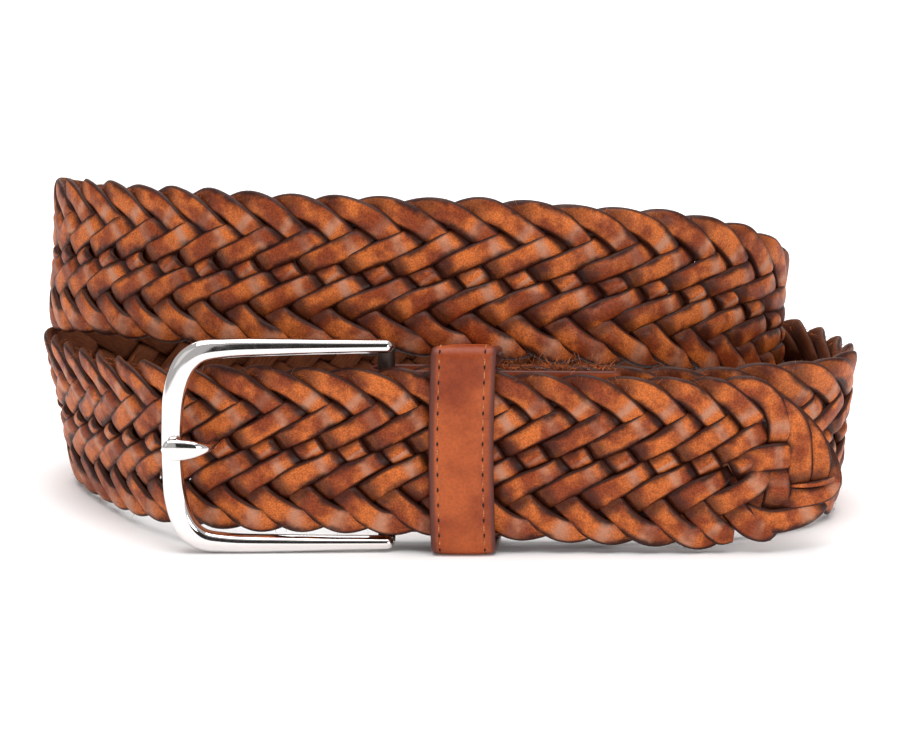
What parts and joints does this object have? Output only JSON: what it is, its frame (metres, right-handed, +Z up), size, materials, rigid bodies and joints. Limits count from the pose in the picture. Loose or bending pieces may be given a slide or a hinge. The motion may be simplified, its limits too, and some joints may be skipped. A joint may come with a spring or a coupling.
{
  "type": "braided belt",
  "caption": "Braided brown leather belt with a polished buckle, tab and keeper, buckled shut and doubled into two turns that stand on their edges.",
  "frame": {"origin": "middle of the belt's box, on the surface that the belt stands on", "axes": "+X along the buckle towards the tail's tip, -Y the side that the buckle faces, +Z up"},
  "size_m": [0.1756, 0.1184, 0.0709],
  "materials": {
    "braided_leather": "burnished",
    "tan_leather": "smooth",
    "polished_nickel": "polished"
  },
  "bodies": {
    "root": {"braided_strap": "braided_leather", "buckle_frame": "polished_nickel", "buckle_prong": "polished_nickel", "leather_tab": "tan_leather", "keeper_loop": "tan_leather"}
  },
  "joints": []
}
